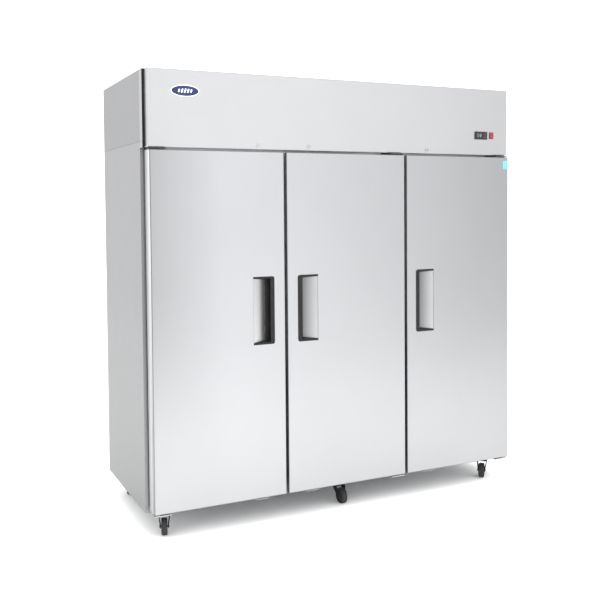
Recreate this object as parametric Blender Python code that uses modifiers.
"""Three-door reach-in refrigerator with a top machine compartment.

Every separate piece is one named object, in metres, +Z up. The doors face -Y. The origin is on the floor,
under the middle of the bounding box. Moving pieces have their origin, or their parent empty, on their axis.
"""

import math

import bmesh
import bpy
from mathutils import Matrix, Vector

# ---------------------------------------------------------------- driving dimensions
WIDTH = 1.976
DEPTH = 0.805
HEIGHT = 2.080
SECTIONS = 3
SHEET = 0.001  # stainless sheet
GAP = 0.0003  # clearance kept between pieces that touch
TRIM_LIP = 0.0012  # the handle trims stand this far in front of the door skins

HALF_WIDTH = WIDTH / 2
BACK = DEPTH / 2
DOOR_FRONT = -DEPTH / 2 + TRIM_LIP
BASE_Z = 0.105  # underside of the cabinet, on its casters
BODY_TOP = 1.765
HEADER_BOTTOM = 1.736

# doors
DOOR_BOTTOM = 0.122
DOOR_TOP = 1.726
DOOR_THICK = 0.080
DOOR_GAP = 0.012
DOOR_INSET = 0.0165  # from the cabinet's side to the outer door edge
DOOR_RADIUS = 0.004
SKIN_RETURN = 0.027  # depth of the front skin's folded edge
PIVOT_INSET = 0.020  # hinge axis from the hinge edge, and from the front skin
PIN_RADIUS = 0.005
PIN_CLEARANCE = 0.0003
PIN_LENGTH = 0.020
HINGE_SHORT = 0.018  # bracket beyond the pin, away from the latch
HINGE_LONG = 0.0575  # bracket beyond the pin, towards the latch
HINGE_PLATE = 0.0045
HINGE_DROP = {"bottom": 0.005, "top": 0.0025}  # space between the door's end and the plate
HINGE_LEG = {"bottom": 0.014, "top": 0.028}  # top of the leg against the frame, above the door's end

# front frame and cabinet walls
FRAME_FRONT = DOOR_FRONT + 0.095
FRAME_THICK = 0.002
FRAME_LOW = BASE_Z + 0.0045
FRAME_REST = 0.045  # width of frame that a door covers, from its edge to the opening
MULLION_DEPTH = 0.080
MULLION_WALL = 0.0015
SIDE_FLANGE = 0.020  # front return of each side panel
LINER_BACK = 0.340
GASKET_INSET = 0.022
GASKET_WIDTH = 0.018

# header above the doors
HEADER_FRONT = DOOR_FRONT + 0.0175
HEADER_HALF_WIDTH = HALF_WIDTH - 0.0115
HEADER_RETURN = 0.040
SHROUD_FRONT = DOOR_FRONT + 0.054
SHROUD_STEP = DOOR_FRONT + 0.0945
SHROUD_LIP = 0.020
RAIL_HEIGHT = 0.050  # rails across the machine compartment's back

# recessed handles
HANDLE_LOW = 0.838
HANDLE_HIGH = 1.152
HANDLE_WIDTH = 0.106
HANDLE_FROM_GAP = 0.060  # outer edge of the trim from the middle of the door gap
HANDLE_LEG = 0.009
HANDLE_GRIP = 0.020
HANDLE_FOOT = 0.036
HANDLE_DEPTH = 0.0285
HANDLE_WALL = 0.0025
HANDLE_DRAFT = 0.25
HANDLE_CORNER = 0.010

# controls
CONTROLLER_X = 0.806
CONTROLLER_Z = 1.8375
SWITCH_X = 0.873
SWITCH_Z = 1.8385
ROCKER_HALF = 0.0103
ROCKER_BACK = 0.004  # rocker's pivot behind the header's face
ROCKER_TILT = 8  # degrees either side of level
LOCK_Z = 1.755
LOCK_X = (-0.456, -0.197, 0.469)
LOCK_REACH = 0.034
LOCK_RADIUS = 0.008
REST_HALF = 0.033  # half the width of the rest under each door's latch side
CAM_BACK = 0.027  # cam centre behind the header's face
CAM_HALF = 0.006  # half the cam's height
CAM_THICK = 0.003
SLOT_HALF = 0.004  # half the width, front to back, of the slots that the cam turns into
REST_FRONT = DOOR_FRONT + 0.008
REST_TOP = BASE_Z + 0.013
REST_PLATE = 0.004

# casters
WHEEL_RADIUS = 0.0375
WHEEL_WIDTH = 0.028
CASTER_TRAIL = 0.036
CASTER_X = 0.895
CASTER_FRONT_Y = DOOR_FRONT + 0.120
CASTER_REAR_Y = BACK - 0.075
CASTER_PAD = 0.003
PAD_HALF_WIDTH = 0.045
PAD_SPAN = (-0.023, 0.030)  # caster pad, front and back of the swivel axis
CASTER_NAMES = ("front_left", "front_middle", "front_right", "rear_left", "rear_middle", "rear_right")
CASTER_TURNS = (-16, 2, -44, -20, 25, 40)  # degrees about +Z
AXLE_RADIUS = 0.004
BRAKE_Y = 0.006
BRAKE_Z = 0.076

# shelves
SHELF_WIDTH = 0.560
SHELF_DEPTH = 0.540
SHELF_WIRE = 0.006
SHELF_MIDDLE_Y = 0.045
SHELF_HEIGHTS = (0.505, 0.875, 1.245)

# refrigeration
COIL_FRONT = -0.240
COIL_DEPTH = 0.060
COIL_HALF_WIDTH = 0.210
COIL_HEIGHT = 0.270
COIL_SHROUD_DEPTH = 0.050
CONDENSER_FAN_RADIUS = 0.110
COMPRESSOR_Y = 0.170
COMPRESSOR_RADIUS = 0.088
EVAPORATOR_HALF_WIDTH = 0.260
EVAPORATOR_SPAN_Y = (0.035, 0.320)
EVAPORATOR_HEIGHT = 0.185
EVAPORATOR_FAN_RADIUS = 0.076
FAN_CLEARANCE = 0.006  # added to a fan's radius for the hole it blows through
CASING_SHEET = 0.0015

# ---------------------------------------------------------------- values worked out from them
SECTION_EDGE = WIDTH / SECTIONS / 2  # the two door gaps are at +/- this X
FOAM_HALF_WIDTH = HALF_WIDTH - SHEET - GAP
OPENING_HALF_WIDTH = HALF_WIDTH - DOOR_INSET - FRAME_REST
OPENING_LOW = DOOR_BOTTOM + FRAME_REST
OPENING_HIGH = DOOR_TOP - FRAME_REST
MULLION_HALF = DOOR_GAP / 2 + FRAME_REST
DECK_Z = BODY_TOP - 0.016
SWING = {"left": -1, "middle": 1, "right": 1}  # -1: hinged on the door's left edge
DOOR_EDGES = {
    "left": (-HALF_WIDTH + DOOR_INSET, -SECTION_EDGE - DOOR_GAP / 2),
    "middle": (-SECTION_EDGE + DOOR_GAP / 2, SECTION_EDGE - DOOR_GAP / 2),
    "right": (SECTION_EDGE + DOOR_GAP / 2, HALF_WIDTH - DOOR_INSET),
}
PIVOT_Y = DOOR_FRONT + PIVOT_INSET

for item in list(bpy.data.objects):
    bpy.data.objects.remove(item, do_unlink=True)

parts = bpy.data.collections.new("reach_in_refrigerator")
cutters = bpy.data.collections.new("cutters")
for group in (parts, cutters):
    bpy.context.scene.collection.children.link(group)


# ---------------------------------------------------------------- materials
def make_material(name, colour, roughness, metallic):
    material = bpy.data.materials.new(name)
    material.use_nodes = True
    shader = material.node_tree.nodes["Principled BSDF"]
    shader.inputs["Base Color"].default_value = (*colour, 1.0)
    shader.inputs["Roughness"].default_value = roughness
    shader.inputs["Metallic"].default_value = metallic
    material.diffuse_color = (*colour, 1.0)
    return material


STAINLESS = ((0.72, 0.73, 0.74), 0.32, 1.0)
GALVANISED = ((0.60, 0.61, 0.62), 0.45, 1.0)
ALUMINIUM = ((0.80, 0.81, 0.82), 0.35, 1.0)
BLACK_PLASTIC = ((0.020, 0.020, 0.022), 0.45, 0.0)
BLACK_RUBBER = ((0.030, 0.030, 0.032), 0.70, 0.0)
BLACK_PAINT = ((0.015, 0.015, 0.017), 0.40, 0.0)
FOAM = ((0.78, 0.66, 0.42), 0.90, 0.0)
COATED_WIRE = ((0.80, 0.81, 0.82), 0.35, 0.0)
RED_PLASTIC = ((0.25, 0.010, 0.025), 0.25, 0.0)


# ---------------------------------------------------------------- building blocks
def add_object(name, mesh, collection=parts):
    piece = bpy.data.objects.new(name, mesh)
    collection.objects.link(piece)
    if collection is cutters:
        piece.hide_render = True
        piece.display_type = "WIRE"
    return piece


def mesh_from(name, shape):
    """Turn a bmesh into a mesh with its faces pointing out."""
    bmesh.ops.recalc_face_normals(shape, faces=shape.faces)
    if shape.calc_volume(signed=True) < 0:
        bmesh.ops.reverse_faces(shape, faces=shape.faces)
    mesh = bpy.data.meshes.new(name)
    shape.to_mesh(mesh)
    shape.free()
    return mesh


def box_shape(low, high):
    """A bmesh box between two corners."""
    low, high = Vector(low), Vector(high)
    place = Matrix.Translation((low + high) / 2) @ Matrix.Diagonal((*(high - low), 1.0))
    shape = bmesh.new()
    bmesh.ops.create_cube(shape, size=1.0, matrix=place)
    return shape


def box(name, low, high, collection=parts):
    return add_object(name, mesh_from(name, box_shape(low, high)), collection)


def rod_shape(middle, radius, length, axis, sides=24, tip_radius=None):
    """A bmesh cylinder, or a cone with a tip radius, centred on a point along an axis."""
    turn = Vector((0, 0, 1)).rotation_difference(Vector(axis)).to_matrix().to_4x4()
    shape = bmesh.new()
    bmesh.ops.create_cone(
        shape,
        cap_ends=True,
        segments=sides,
        radius1=radius,
        radius2=radius if tip_radius is None else tip_radius,
        depth=length,
        matrix=Matrix.Translation(middle) @ turn,
    )
    return shape


def rod(name, middle, radius, length, axis, sides=24, collection=cutters):
    return add_object(name, mesh_from(name, rod_shape(middle, radius, length, axis, sides)), collection)


def hull(name, points, collection=cutters):
    """The convex solid around a few points."""
    shape = bmesh.new()
    for point in points:
        shape.verts.new(point)
    found = bmesh.ops.convex_hull(shape, input=shape.verts)
    loose = [v for v in found["geom_interior"] if isinstance(v, bmesh.types.BMVert)]
    bmesh.ops.delete(shape, geom=loose, context="VERTS")
    return add_object(name, mesh_from(name, shape), collection)


PLANES = {
    "XY": Matrix.Identity(3),
    "YZ": Matrix(((0, 0, 1), (1, 0, 0), (0, 1, 0))),
    "XZ": Matrix(((1, 0, 0), (0, 0, -1), (0, 1, 0))),
}
NORMALS = {"XY": (0, 0, 1), "YZ": (1, 0, 0), "XZ": (0, 1, 0)}


def outline_mesh(name, loops, span, plane):
    """A flat outline, with any holes as further loops, given thickness across its plane."""
    curve = bpy.data.curves.new(name, "CURVE")
    curve.dimensions = "2D"
    curve.fill_mode = "BOTH"
    curve.extrude = (span[1] - span[0]) / 2
    for loop in loops:
        spline = curve.splines.new("POLY")
        spline.points.add(len(loop) - 1)
        spline.use_cyclic_u = True
        for point, (across, up) in zip(spline.points, loop):
            point.co = (across, up, 0.0, 1.0)
    sketch = add_object(name + "_outline", curve, cutters)
    graph = bpy.context.evaluated_depsgraph_get()
    mesh = bpy.data.meshes.new_from_object(sketch.evaluated_get(graph))
    bpy.data.objects.remove(sketch, do_unlink=True)
    shape = bmesh.new()
    shape.from_mesh(mesh)
    bmesh.ops.remove_doubles(shape, verts=shape.verts, dist=0.00001)
    middle = Vector(NORMALS[plane]) * (span[0] + span[1]) / 2
    shape.transform(Matrix.Translation(middle) @ PLANES[plane].to_4x4())
    return mesh_from(name, shape)


def outline(name, loops, span, plane, collection=parts):
    return add_object(name, outline_mesh(name, loops, span, plane), collection)


def rectangle(low, high):
    return [(low[0], low[1]), (high[0], low[1]), (high[0], high[1]), (low[0], high[1])]


def tray(name, low, high, open_side, thickness, radius, collection=parts):
    """A sheet-metal box with one side left open and its folds rounded."""
    shape = box_shape(low, high)
    shape.faces.ensure_lookup_table()
    lid = max(shape.faces, key=lambda face: face.normal.dot(Vector(open_side)))
    bmesh.ops.delete(shape, geom=[lid], context="FACES_ONLY")
    piece = add_object(name, mesh_from(name, shape), collection)
    if radius:
        fold = piece.modifiers.new("fold", "BEVEL")
        fold.width = radius
        fold.segments = 2
        fold.limit_method = "ANGLE"
    wall = piece.modifiers.new("sheet", "SOLIDIFY")
    wall.thickness = thickness
    wall.offset = -1.0
    wall.use_even_offset = True
    return piece


def combine(piece, tool, operation):
    """Cut or join with another object, which is kept as a guide."""
    for group in list(tool.users_collection):
        group.objects.unlink(tool)
    cutters.objects.link(tool)
    tool.hide_render = True
    tool.display_type = "WIRE"
    step = piece.modifiers.new(tool.name, "BOOLEAN")
    step.operation = operation
    step.solver = "EXACT"
    step.object = tool
    return piece


def cut(piece, tool):
    return combine(piece, tool, "DIFFERENCE")


def join(piece, tool):
    return combine(piece, tool, "UNION")


def bake(piece):
    """The piece's finished mesh, without its modifiers."""
    bpy.context.view_layer.update()
    graph = bpy.context.evaluated_depsgraph_get()
    return bpy.data.meshes.new_from_object(piece.evaluated_get(graph))


def place_origin(piece, point):
    """Put the piece's origin on a point without moving the piece."""
    piece.data.transform(Matrix.Translation(-Vector(point)))
    piece.location = point


def smooth(piece, degrees=35):
    piece.data.shade_smooth()
    piece.data.set_sharp_from_angle(angle=math.radians(degrees))


def dress(piece, finish):
    piece.data.materials.clear()
    piece.data.materials.append(make_material(piece.name, *finish))
    return piece


# ---------------------------------------------------------------- cabinet
def build_side_panels():
    for side, sign in (("left", -1), ("right", 1)):
        outer = sign * HALF_WIDTH
        inner = outer - sign * SHEET
        flange = outer - sign * SIDE_FLANGE
        section = [
            (outer, FRAME_FRONT),
            (outer, BACK),
            (inner, BACK),
            (inner, FRAME_FRONT + SHEET),
            (flange, FRAME_FRONT + SHEET),
            (flange, FRAME_FRONT),
        ]
        panel = outline(f"{side}_side_panel", [section], (BASE_Z, BODY_TOP), "XY")
        dress(panel, STAINLESS)


def build_body_wrap():
    """Bottom, back and deck folded from one sheet, with a pad for each caster and the door rests."""
    half = HALF_WIDTH - SHEET - GAP
    front = FRAME_FRONT + 0.0015
    deck_front = FRAME_FRONT + FRAME_THICK + GAP
    inner_back = BACK - SHEET
    section = [
        (front, BASE_Z),
        (BACK, BASE_Z),
        (BACK, BODY_TOP),
        (inner_back, BODY_TOP),
        (inner_back, DECK_Z + SHEET),
        (deck_front, DECK_Z + SHEET),
        (deck_front, DECK_Z),
        (inner_back, DECK_Z),
        (inner_back, BASE_Z + SHEET),
        (front, BASE_Z + SHEET),
    ]
    wrap = outline("body_wrap", [section], (-half, half), "YZ")
    for index, (x, y) in enumerate(caster_places()):
        low = (x - PAD_HALF_WIDTH, y + PAD_SPAN[0], BASE_Z - CASTER_PAD)
        high = (x + PAD_HALF_WIDTH, y + PAD_SPAN[1], BASE_Z + SHEET / 2)
        join(wrap, box(f"caster_pad_{index}", low, high))
    rest_back = FRAME_FRONT - GAP
    root = front + 0.002
    root_low = BASE_Z + 0.0002
    root_high = BASE_Z + SHEET - 0.0002
    rest_section = [
        (root, root_low),
        (root, root_high),
        (rest_back, root_high),
        (rest_back, REST_TOP),
        (REST_FRONT, REST_TOP),
        (REST_FRONT, REST_TOP - REST_PLATE),
        (rest_back - REST_PLATE, REST_TOP - REST_PLATE),
        (rest_back - REST_PLATE, root_low),
    ]
    for index, x in enumerate(LOCK_X):
        rest = outline(f"door_rest_{index}", [rest_section], (x - REST_HALF, x + REST_HALF), "YZ")
        join(wrap, rest)
    dress(wrap, GALVANISED)


def build_insulation():
    """Foam block with the storage cavity in it, and the liner that covers the cavity."""
    foam_front = FRAME_FRONT + FRAME_THICK + GAP
    foam = box(
        "foam_core",
        (-FOAM_HALF_WIDTH, foam_front, BASE_Z + SHEET + GAP),
        (FOAM_HALF_WIDTH, BACK - SHEET - GAP, DECK_Z - GAP),
    )
    skin = SHEET + GAP
    cavity = box(
        "cavity",
        (-OPENING_HALF_WIDTH - skin, foam_front - 0.05, OPENING_LOW - skin),
        (OPENING_HALF_WIDTH + skin, LINER_BACK + skin, OPENING_HIGH + skin),
    )
    cut(foam, cavity)
    dress(foam, FOAM)
    liner = tray(
        "inner_liner",
        (-OPENING_HALF_WIDTH - SHEET, foam_front, OPENING_LOW - SHEET),
        (OPENING_HALF_WIDTH + SHEET, LINER_BACK + SHEET, OPENING_HIGH + SHEET),
        (0, -1, 0),
        SHEET,
        0.0,
    )
    dress(liner, STAINLESS)


def build_face_frame():
    """Frame that the gaskets close on, with a post between the sections."""
    outer_half = HALF_WIDTH - SIDE_FLANGE - GAP
    edges = [-OPENING_HALF_WIDTH, -SECTION_EDGE - MULLION_HALF, -SECTION_EDGE + MULLION_HALF]
    edges += [-edge for edge in reversed(edges)]
    loops = [rectangle((-outer_half, FRAME_LOW), (outer_half, BODY_TOP - GAP))]
    for left, right in zip(edges[::2], edges[1::2]):
        loops.append(rectangle((left, OPENING_LOW), (right, OPENING_HIGH)))
    frame = outline("face_frame", loops, (FRAME_FRONT, FRAME_FRONT + FRAME_THICK), "XZ")
    for side, x in (("left", -SECTION_EDGE), ("right", SECTION_EDGE)):
        low = (x - MULLION_HALF + 0.004, FRAME_FRONT + 0.001)
        high = (x + MULLION_HALF - 0.004, FRAME_FRONT + MULLION_DEPTH)
        inner_low = (low[0] + MULLION_WALL, low[1] + 2 * MULLION_WALL)
        inner_high = (high[0] - MULLION_WALL, high[1] - MULLION_WALL)
        tube = [rectangle(low, high), rectangle(inner_low, inner_high)]
        post_span = (OPENING_LOW + GAP, OPENING_HIGH - GAP)
        join(frame, outline(f"{side}_mullion_post", tube, post_span, "XY"))
    dress(frame, STAINLESS)


# ---------------------------------------------------------------- header and machine compartment
def build_shroud():
    """Side walls of the machine compartment, joined by two rails across the open back."""
    profile = [
        (SHROUD_FRONT, HEADER_BOTTOM),
        (SHROUD_STEP, HEADER_BOTTOM),
        (SHROUD_STEP, BODY_TOP + GAP),
        (BACK, BODY_TOP + GAP),
        (BACK, HEIGHT),
        (SHROUD_FRONT, HEIGHT),
    ]
    lip_front = HEADER_FRONT + HEADER_RETURN + SHEET
    shroud = None
    for sign in (-1, 1):
        outer = sign * HALF_WIDTH
        wall = outline("machine_shroud", [profile], sorted((outer, outer - sign * SHEET)), "YZ")
        near, far = sorted((outer, outer - sign * SHROUD_LIP))
        join(wall, box("shroud_lip", (near, lip_front, HEIGHT - SHEET), (far, BACK, HEIGHT)))
        shroud = join(shroud, wall) if shroud else wall
    for low, high in ((BODY_TOP + GAP, BODY_TOP + RAIL_HEIGHT), (HEIGHT - RAIL_HEIGHT, HEIGHT)):
        rail = box("shroud_rail", (-HALF_WIDTH, BACK - SHEET, low), (HALF_WIDTH, BACK, high))
        join(shroud, rail)
    shroud.name = "machine_shroud"
    dress(shroud, STAINLESS)


def build_header():
    """Front cover of the machine compartment, with openings for the controls and the locks."""
    panel = tray(
        "header_panel",
        (-HEADER_HALF_WIDTH, HEADER_FRONT, HEADER_BOTTOM),
        (HEADER_HALF_WIDTH, HEADER_FRONT + HEADER_RETURN, HEIGHT),
        (0, 1, 0),
        SHEET,
        0.004,
    )
    through = (HEADER_FRONT - 0.01, HEADER_FRONT + 0.01)
    windows = [
        ("controller_window", CONTROLLER_X, CONTROLLER_Z, 0.0355, 0.0145),
        ("switch_window", SWITCH_X, SWITCH_Z, 0.0110, 0.0140),
    ]
    for name, x, z, half_x, half_z in windows:
        hole = rectangle((x - half_x, z - half_z), (x + half_x, z + half_z))
        cut(panel, outline(name, [hole], through, "XZ"))
    slot_y = HEADER_FRONT + CAM_BACK
    for index, x in enumerate(LOCK_X):
        middle = (x, HEADER_FRONT, LOCK_Z)
        cut(panel, rod(f"lock_hole_{index}", middle, LOCK_RADIUS + GAP, 0.02, (0, 1, 0)))
        low = (x - CAM_HALF - 0.003, slot_y - SLOT_HALF, HEADER_BOTTOM - 0.005)
        high = (x + LOCK_REACH, slot_y + SLOT_HALF, HEADER_BOTTOM + 0.005)
        cut(panel, box(f"cam_slot_{index}", low, high))
    dress(panel, STAINLESS)


def build_controls():
    """Thermostat with its body through the header, and the rocker of the power switch."""
    half_x, half_z = 0.0400, 0.0205
    face = rectangle(
        (CONTROLLER_X - half_x, CONTROLLER_Z - half_z),
        (CONTROLLER_X + half_x, CONTROLLER_Z + half_z),
    )
    bezel = outline("controller", [face], (HEADER_FRONT - 0.0035, HEADER_FRONT - GAP), "XZ")
    half_x, half_z = 0.0350, 0.0140
    body = box(
        "controller_body",
        (CONTROLLER_X - half_x, HEADER_FRONT - 0.001, CONTROLLER_Z - half_z),
        (CONTROLLER_X + half_x, HEADER_FRONT + 0.050, CONTROLLER_Z + half_z),
    )
    dress(join(bezel, body), BLACK_PLASTIC)

    tip, waist, root, tail = 0.0125, 0.0055, 0.0135, 0.006
    profile = [(-0.0075, tip), (-waist, 0.0), (-0.0075, -tip), (-0.001, -root)]
    profile += [(tail, -tail), (tail, tail), (-0.001, root)]
    rocker = outline("switch_rocker", [profile], (-ROCKER_HALF, ROCKER_HALF), "YZ")
    rocker.location = (SWITCH_X, HEADER_FRONT + ROCKER_BACK, SWITCH_Z)
    rocker.rotation_euler = (-math.radians(ROCKER_TILT), 0, 0)
    dress(rocker, RED_PLASTIC)


def build_locks():
    """Key cylinder with a cam that turns down into a slot in the door's top edge."""
    for door, x in zip(DOOR_EDGES, LOCK_X):
        name = f"{door}_lock"
        face = HEADER_FRONT - 0.0025
        rear = HEADER_FRONT + CAM_BACK + CAM_THICK / 2
        middle = (x, (face + rear) / 2, LOCK_Z)
        barrel = rod(name, middle, LOCK_RADIUS, rear - face, (0, 1, 0), collection=parts)
        flange = rod(name + "_flange", (x, face + 0.001, LOCK_Z), LOCK_RADIUS + 0.0025, 0.002, (0, 1, 0))
        join(barrel, flange)
        cam_low = (x - CAM_HALF, rear - CAM_THICK, LOCK_Z - CAM_HALF)
        cam_high = (x + LOCK_REACH, rear, LOCK_Z + CAM_HALF)
        join(barrel, box(name + "_cam", cam_low, cam_high))
        key_low = (x - 0.0007, face - 0.005, LOCK_Z - 0.0035)
        key_high = (x + 0.0007, face + 0.006, LOCK_Z + 0.0035)
        cut(barrel, box(name + "_keyway", key_low, key_high))
        place_origin_of_stack(barrel, (x, HEADER_FRONT, LOCK_Z))
        dress(barrel, ALUMINIUM)


def place_origin_of_stack(piece, point):
    """Bake the piece's cuts and joins, then put its origin on a point."""
    mesh = bake(piece)
    piece.modifiers.clear()
    piece.data = mesh
    mesh.name = piece.name
    place_origin(piece, point)


# ---------------------------------------------------------------- doors
def handle_block(name, door, profile, low, high, corner, collection=cutters):
    """Solid of a pocket profile, given as (distance from the trim's latch edge, depth behind the skin)."""
    start, sign = handle_start(door)
    points = [(start + sign * across, DOOR_FRONT + depth) for across, depth in profile]
    mesh = outline_mesh(name, [points], (low, high), "XY")
    middle = (low + high) / 2
    shape = bmesh.new()
    shape.from_mesh(mesh)
    for vertex in shape.verts:
        inward = 1 if vertex.co.z < middle else -1
        vertex.co.z += inward * HANDLE_DRAFT * (vertex.co.y - DOOR_FRONT)
    if corner:
        edges = [edge for edge in shape.edges if is_end_edge(edge, start)]
        bmesh.ops.bevel(shape, geom=edges, offset=corner, segments=4, profile=0.5, affect="EDGES")
    return add_object(name, mesh_from(name, shape), collection)


def is_end_edge(edge, x):
    """True for the two edges that run front to back at a given X."""
    first, second = (vertex.co for vertex in edge.verts)
    level = abs(first.x - x) < 0.002 and abs(second.x - x) < 0.002
    return level and abs(first.y - second.y) > 0.005 and abs(first.z - second.z) < 0.02


def handle_start(door):
    """X of the trim's edge nearest the latch, and the direction from there into the pocket."""
    low, high = DOOR_EDGES[door]
    inset = HANDLE_FROM_GAP - DOOR_GAP / 2
    if SWING[door] < 0:
        return high - inset, -1
    return low + inset, 1


def build_door(door):
    """Folded front skin, and the foamed core with its inner pan that the skin caps."""
    low_x, high_x = DOOR_EDGES[door]
    skin = tray(
        f"{door}_door_skin",
        (low_x, DOOR_FRONT, DOOR_BOTTOM),
        (high_x, DOOR_FRONT + SKIN_RETURN, DOOR_TOP),
        (0, 1, 0),
        SHEET,
        DOOR_RADIUS,
    )
    inset = SHEET + GAP
    core = box(
        f"{door}_door_core",
        (low_x, DOOR_FRONT + SKIN_RETURN + GAP, DOOR_BOTTOM),
        (high_x, DOOR_FRONT + DOOR_THICK, DOOR_TOP),
    )
    filling = box(
        f"{door}_filling",
        (low_x + inset, DOOR_FRONT + inset, DOOR_BOTTOM + inset),
        (high_x - inset, DOOR_FRONT + SKIN_RETURN + 0.005, DOOR_TOP - inset),
    )
    edge = filling.modifiers.new("fold", "BEVEL")
    edge.width = DOOR_RADIUS
    edge.segments = 2
    join(core, filling)

    low, high = HANDLE_LOW - GAP, HANDLE_HIGH + GAP
    pocket = handle_block(f"{door}_pocket", door, pocket_profile(), low, high, HANDLE_CORNER + GAP)
    cut(core, pocket)
    pivot_x = door_pivot(door)
    bore_length = 2 * PIN_LENGTH + 0.006
    for end, z in (("top", DOOR_TOP), ("bottom", DOOR_BOTTOM)):
        middle = (pivot_x, PIVOT_Y, z)
        bore = rod(f"{door}_{end}_bore", middle, PIN_RADIUS + PIN_CLEARANCE, bore_length, (0, 0, 1))
        cut(skin, bore)
        cut(core, bore)
    lock_x = LOCK_X[list(DOOR_EDGES).index(door)]
    slot_y = HEADER_FRONT + CAM_BACK
    slot_low = (lock_x - CAM_HALF - 0.003, slot_y - SLOT_HALF, DOOR_TOP - 0.012)
    slot_high = (lock_x + LOCK_REACH - 0.010, slot_y + SLOT_HALF, DOOR_TOP + 0.01)
    cut(core, box(f"{door}_cam_slot", slot_low, slot_high))
    cut(skin, pocket)
    for piece, finish in ((skin, STAINLESS), (core, FOAM)):
        place_origin_of_stack(piece, (pivot_x, PIVOT_Y, 0))
        dress(piece, finish)


def pocket_profile():
    """Section of the handle pocket: steep at the latch side, sloping back out to the skin."""
    depth = HANDLE_DEPTH + GAP
    profile = [(-GAP, -0.01), (-GAP, depth), (HANDLE_FOOT + 0.002, depth), (HANDLE_WIDTH + GAP, GAP)]
    return profile + [(HANDLE_WIDTH + GAP, -0.01)]


def door_pivot(door):
    """X of the door's hinge axis."""
    low, high = DOOR_EDGES[door]
    return low + PIVOT_INSET if SWING[door] < 0 else high - PIVOT_INSET


def build_handle(door):
    block_profile = [
        (0, -TRIM_LIP),
        (0, HANDLE_DEPTH),
        (HANDLE_FOOT + 0.002, HANDLE_DEPTH),
        (HANDLE_WIDTH, 0.0),
        (HANDLE_WIDTH, -TRIM_LIP),
    ]
    name = f"{door}_handle"
    trim = handle_block(name, door, block_profile, HANDLE_LOW, HANDLE_HIGH, HANDLE_CORNER, parts)
    floor = HANDLE_DEPTH - HANDLE_WALL
    hollow_profile = [
        (HANDLE_GRIP, -0.01),
        (HANDLE_GRIP, 0.003),
        (HANDLE_WALL + 0.004, 0.006),
        (HANDLE_WALL + 0.002, floor),
        (HANDLE_FOOT, floor),
        (HANDLE_FOOT + 0.003, HANDLE_DEPTH + 0.0015),
        (HANDLE_WIDTH + 0.006, 0.0),
        (HANDLE_WIDTH + 0.006, -0.01),
    ]
    low, high = HANDLE_LOW + HANDLE_LEG, HANDLE_HIGH - HANDLE_LEG
    hollow = handle_block(name + "_hollow", door, hollow_profile, low, high, 0.0)
    cut(trim, hollow)
    place_origin_of_stack(trim, (door_pivot(door), PIVOT_Y, 0))
    dress(trim, BLACK_PLASTIC)


def build_gasket(door):
    """Seal around the door's inner face."""
    low_x, high_x = DOOR_EDGES[door]
    loops = []
    for inset in (GASKET_INSET, GASKET_INSET + GASKET_WIDTH):
        low = (low_x + inset, DOOR_BOTTOM + inset)
        high = (high_x - inset, DOOR_TOP - inset)
        loops.append(rectangle(low, high))
    span = (DOOR_FRONT + DOOR_THICK + GAP, FRAME_FRONT - GAP)
    seal = outline(f"{door}_gasket", loops, span, "XZ")
    place_origin(seal, (door_pivot(door), PIVOT_Y, 0))
    dress(seal, BLACK_RUBBER)


def build_hinges(door):
    """Top and bottom hinge brackets, each with the pin that the door turns on."""
    pivot_x = door_pivot(door)
    sign = -SWING[door]  # towards the latch
    reach = (pivot_x - sign * HINGE_SHORT, pivot_x + sign * HINGE_LONG)
    low_x, high_x = min(reach), max(reach)
    for end, door_z, up in (("bottom", DOOR_BOTTOM, 1), ("top", DOOR_TOP, -1)):
        name = f"{door}_{end}_hinge"
        near = door_z - up * HINGE_DROP[end]
        plate_z = sorted((near, near - up * HINGE_PLATE))
        plate = box(
            name,
            (low_x, DOOR_FRONT + 0.005, plate_z[0]),
            (high_x, FRAME_FRONT - GAP, plate_z[1]),
        )
        leg = box(
            name + "_leg",
            (low_x, FRAME_FRONT - HINGE_PLATE, plate_z[0] + 0.001),
            (high_x, FRAME_FRONT - GAP, door_z + HINGE_LEG[end]),
        )
        join(plate, leg)
        for part, radius, top, foot in (
            ("boss", PIN_RADIUS + 0.004, door_z - up * GAP, near - up * 0.001),
            ("pin", PIN_RADIUS, door_z + up * PIN_LENGTH, near - up * 0.002),
        ):
            middle = (pivot_x, PIVOT_Y, (top + foot) / 2)
            join(plate, rod(f"{name}_{part}", middle, radius, abs(top - foot), (0, 0, 1)))
        dress(plate, STAINLESS)


# ---------------------------------------------------------------- casters
def caster_places():
    return [(x, y) for y in (CASTER_FRONT_Y, CASTER_REAR_Y) for x in (-CASTER_X, 0.0, CASTER_X)]


def wheel_mesh():
    """Tyre and hub turned about Z, then laid on the axle's direction."""
    half = WHEEL_WIDTH / 2
    bore = AXLE_RADIUS + PIN_CLEARANCE
    outer = [(WHEEL_RADIUS - 0.005, half), (WHEEL_RADIUS, half - 0.005), (WHEEL_RADIUS, -half + 0.005)]
    outer += [(WHEEL_RADIUS - 0.005, -half), (0.010, -half), (bore, -half), (bore, half), (0.010, half)]
    shape = bmesh.new()
    ring = [shape.verts.new((radius, 0.0, height)) for radius, height in outer]
    for first, second in zip(ring, ring[1:] + ring[:1]):
        shape.edges.new((first, second))
    mesh = bpy.data.meshes.new("wheel_profile")
    shape.to_mesh(mesh)
    shape.free()
    profile = add_object("wheel_profile", mesh, cutters)
    turn = profile.modifiers.new("turn", "SCREW")
    turn.steps = 24
    turn.render_steps = 24
    turn.use_merge_vertices = True
    turn.merge_threshold = 0.0001
    mesh = bake(profile)
    bpy.data.objects.remove(profile, do_unlink=True)
    mesh.transform(Matrix.Rotation(math.radians(90), 4, "Y"))
    shape = bmesh.new()
    shape.from_mesh(mesh)
    return mesh_from("caster_wheel", shape)


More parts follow.
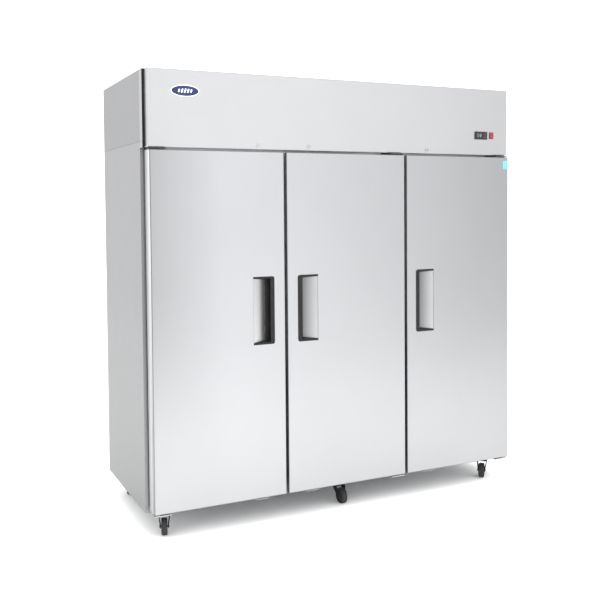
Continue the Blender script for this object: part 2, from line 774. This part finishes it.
def fork_mesh():
    """Swivel head, two spreading arms and the axle, about the swivel axis with the wheel towards -Y."""
    top = BASE_Z - CASTER_PAD - GAP
    head = rod("caster_head", (0, 0, top - 0.006), 0.026, 0.012, (0, 0, 1), 28, parts)
    crown = []
    for side in (-1, 1):
        for x, front, back, z in ((0.0265, -0.026, 0.016, 0.083), (0.027, -0.024, 0.020, 0.088)):
            crown += [(side * x, front, z), (side * x, back, z)]
        crown += [(side * 0.022, -0.020, 0.0915), (side * 0.022, 0.018, 0.0915)]
    join(head, hull("caster_crown", crown))
    for side in (-1, 1):
        points = []
        for x in (0.0235, 0.027):
            points += [(side * x, -0.026, 0.085), (side * x, 0.016, 0.085)]
        for x in (0.0155, 0.0185):
            for step in range(8):
                angle = math.radians(step * 45 + 22.5)
                y = -CASTER_TRAIL + 0.010 * math.cos(angle)
                points.append((side * x, y, WHEEL_RADIUS + 0.010 * math.sin(angle)))
        join(head, hull(f"caster_arm_{side}", points))
    axle = rod("caster_axle", (0, -CASTER_TRAIL, WHEEL_RADIUS), AXLE_RADIUS, 0.040, (1, 0, 0), 16)
    join(head, axle)
    for side in (-1, 1):
        middle = (side * 0.0195, -CASTER_TRAIL, WHEEL_RADIUS)
        join(head, rod(f"caster_nut_{side}", middle, 0.0065, 0.005, (1, 0, 0), 6))
    mesh = bake(head)
    bpy.data.objects.remove(head, do_unlink=True)
    mesh.name = "caster_fork"
    return mesh


def brake_mesh():
    """Foot lever on a hub between the fork's arms, about the hub's own axis."""
    hub = rod("brake_hub", (0, 0, 0), 0.004, 0.036, (1, 0, 0), 12, parts)
    lever_section = [(0.0, -0.002), (0.024, -0.005), (0.024, -0.002), (0.0, 0.001)]
    pedal_section = [(0.021, -0.007), (0.042, -0.014), (0.042, -0.008), (0.021, -0.002)]
    join(hub, outline("brake_lever", [lever_section], (-0.012, 0.012), "YZ"))
    join(hub, outline("brake_pedal", [pedal_section], (-0.014, 0.014), "YZ"))
    mesh = bake(hub)
    bpy.data.objects.remove(hub, do_unlink=True)
    mesh.name = "caster_brake"
    return mesh


def build_casters():
    """Six swivel casters, each turned its own way; the front three have a brake lever."""
    wheel, fork, brake = wheel_mesh(), fork_mesh(), brake_mesh()
    for name, (x, y), degrees in zip(CASTER_NAMES, caster_places(), CASTER_TURNS):
        swivel = bpy.data.objects.new(f"{name}_swivel", None)
        parts.objects.link(swivel)
        swivel.location = (x, y, 0)
        swivel.rotation_euler = (0, 0, math.radians(degrees))
        pieces = [
            ("fork", fork, (0, 0, 0), BLACK_PAINT),
            ("wheel", wheel, (0, -CASTER_TRAIL, WHEEL_RADIUS), BLACK_RUBBER),
        ]
        if name.startswith("front"):
            pieces.append(("brake", brake, (0, BRAKE_Y, BRAKE_Z), BLACK_PAINT))
        for suffix, mesh, place, finish in pieces:
            piece = add_object(f"{name}_{suffix}", mesh.copy())
            piece.parent = swivel
            piece.location = place
            smooth(piece)
            dress(piece, finish)


# ---------------------------------------------------------------- refrigeration
def fan_mesh(name, radius, hub_radius, blades, thickness):
    """Hub and blades about Y."""
    hub = rod(name, (0, 0, 0), hub_radius, thickness, (0, 1, 0), 24, parts)
    for index in range(blades):
        spin = Matrix.Rotation(math.tau * index / blades, 4, "Y")
        pitch = Matrix.Rotation(math.radians(32), 4, "X")
        length = radius - hub_radius + 0.004
        place = spin @ Matrix.Translation((hub_radius - 0.004 + length / 2, 0, 0)) @ pitch
        half = Vector((length, 0.002, radius / 2)) / 2
        shape = box_shape(-half, half)
        shape.transform(place)
        join(hub, add_object(f"{name}_blade_{index}", mesh_from(name, shape), cutters))
    mesh = bake(hub)
    bpy.data.objects.remove(hub, do_unlink=True)
    return mesh


def build_condenser(deck):
    """Finned coil with the shroud its fan blows through."""
    coil_back = COIL_FRONT + COIL_DEPTH
    fan_y = coil_back + COIL_SHROUD_DEPTH
    fan_z = deck + COIL_HEIGHT / 2
    low, high = (-COIL_HALF_WIDTH, COIL_FRONT, deck), (COIL_HALF_WIDTH, coil_back, deck + COIL_HEIGHT)
    coil = box("condenser_coil", low, high)
    shroud = tray(
        "condenser_shroud",
        (-COIL_HALF_WIDTH + 0.005, coil_back - 0.002, deck + 0.002),
        (COIL_HALF_WIDTH - 0.005, fan_y, deck + COIL_HEIGHT - 0.002),
        (0, -1, 0),
        CASING_SHEET,
        0.0,
        cutters,
    )
    hole_radius = CONDENSER_FAN_RADIUS + FAN_CLEARANCE + 0.002
    hole = rod("condenser_fan_hole", (0, fan_y, fan_z), hole_radius, 0.02, (0, 1, 0), 40)
    shroud.data = bake(cut(shroud, hole))
    shroud.modifiers.clear()
    join(coil, shroud)
    dress(coil, ALUMINIUM)
    fan = add_object("condenser_fan", fan_mesh("fan_blades", CONDENSER_FAN_RADIUS, 0.028, 5, 0.030))
    fan.location = (0, fan_y, fan_z)
    dress(fan, BLACK_PLASTIC)


def build_compressor(deck):
    """Sealed pot with a domed top on a flat base."""
    middle_y, radius = COMPRESSOR_Y, COMPRESSOR_RADIUS
    base = box("compressor", (-0.13, middle_y - 0.10, deck), (0.13, middle_y + 0.10, deck + 0.004))
    join(base, rod("compressor_pot", (0, middle_y, deck + 0.085), radius, 0.15, (0, 0, 1), 32))
    for name, z, wide, height, tip in (
        ("compressor_dome", 0.175, radius, 0.032, 0.060),
        ("compressor_foot", 0.007, 0.070, 0.010, None),
    ):
        shape = rod_shape((0, middle_y, deck + z), wide, height, (0, 0, 1), 32, tip)
        join(base, add_object(name, mesh_from(name, shape), cutters))
    dress(base, BLACK_PAINT)


def build_evaporator():
    """Casing under the cabinet's ceiling, open at the back, with a fan in its front."""
    ceiling = OPENING_HIGH - GAP
    front, back = EVAPORATOR_SPAN_Y
    cover = tray(
        "evaporator_housing",
        (-EVAPORATOR_HALF_WIDTH, front, ceiling - EVAPORATOR_HEIGHT),
        (EVAPORATOR_HALF_WIDTH, back, ceiling),
        (0, 1, 0),
        CASING_SHEET,
        0.003,
    )
    fan_z = ceiling - EVAPORATOR_HEIGHT / 2
    hole_radius = EVAPORATOR_FAN_RADIUS + FAN_CLEARANCE
    cut(cover, rod("evaporator_fan_hole", (0, front, fan_z), hole_radius, 0.02, (0, 1, 0), 36))
    dress(cover, ALUMINIUM)
    fan = add_object("evaporator_fan", fan_mesh("fan_blades", EVAPORATOR_FAN_RADIUS, 0.022, 5, 0.024))
    fan.location = (0, front + 0.021, fan_z)
    dress(fan, BLACK_PLASTIC)


# ---------------------------------------------------------------- shelves
def shelf_mesh():
    """Flat lattice of square wire about the middle of the shelf."""
    shape = bmesh.new()
    bmesh.ops.create_grid(shape, x_segments=9, y_segments=2, size=0.5)
    size = (SHELF_WIDTH - SHELF_WIRE, SHELF_DEPTH - SHELF_WIRE, 1.0, 1.0)
    shape.transform(Matrix.Diagonal(size))
    mesh = bpy.data.meshes.new("shelf_grid")
    shape.to_mesh(mesh)
    shape.free()
    grid = add_object("shelf_grid", mesh, cutters)
    wires = grid.modifiers.new("wires", "WIREFRAME")
    wires.thickness = SHELF_WIRE
    wires.use_boundary = True
    wires.use_replace = True
    wires.use_even_offset = True
    mesh = bake(grid)
    bpy.data.objects.remove(grid, do_unlink=True)
    return mesh


def build_shelves():
    mesh = shelf_mesh()
    side_x = (OPENING_HALF_WIDTH + SECTION_EDGE) / 2
    for section, x in (("left", -side_x), ("middle", 0.0), ("right", side_x)):
        for level, z in enumerate(SHELF_HEIGHTS, start=1):
            shelf = add_object(f"{section}_shelf_{level}", mesh.copy())
            shelf.location = (x, SHELF_MIDDLE_Y, z)
            dress(shelf, COATED_WIRE)


build_side_panels()
build_body_wrap()
build_insulation()
build_face_frame()
build_shroud()
build_header()
build_controls()
build_locks()
for door_name in DOOR_EDGES:
    build_door(door_name)
    build_handle(door_name)
    build_gasket(door_name)
    build_hinges(door_name)
build_casters()
build_condenser(DECK_Z + SHEET + GAP)
build_compressor(DECK_Z + SHEET + GAP)
build_evaporator()
build_shelves()
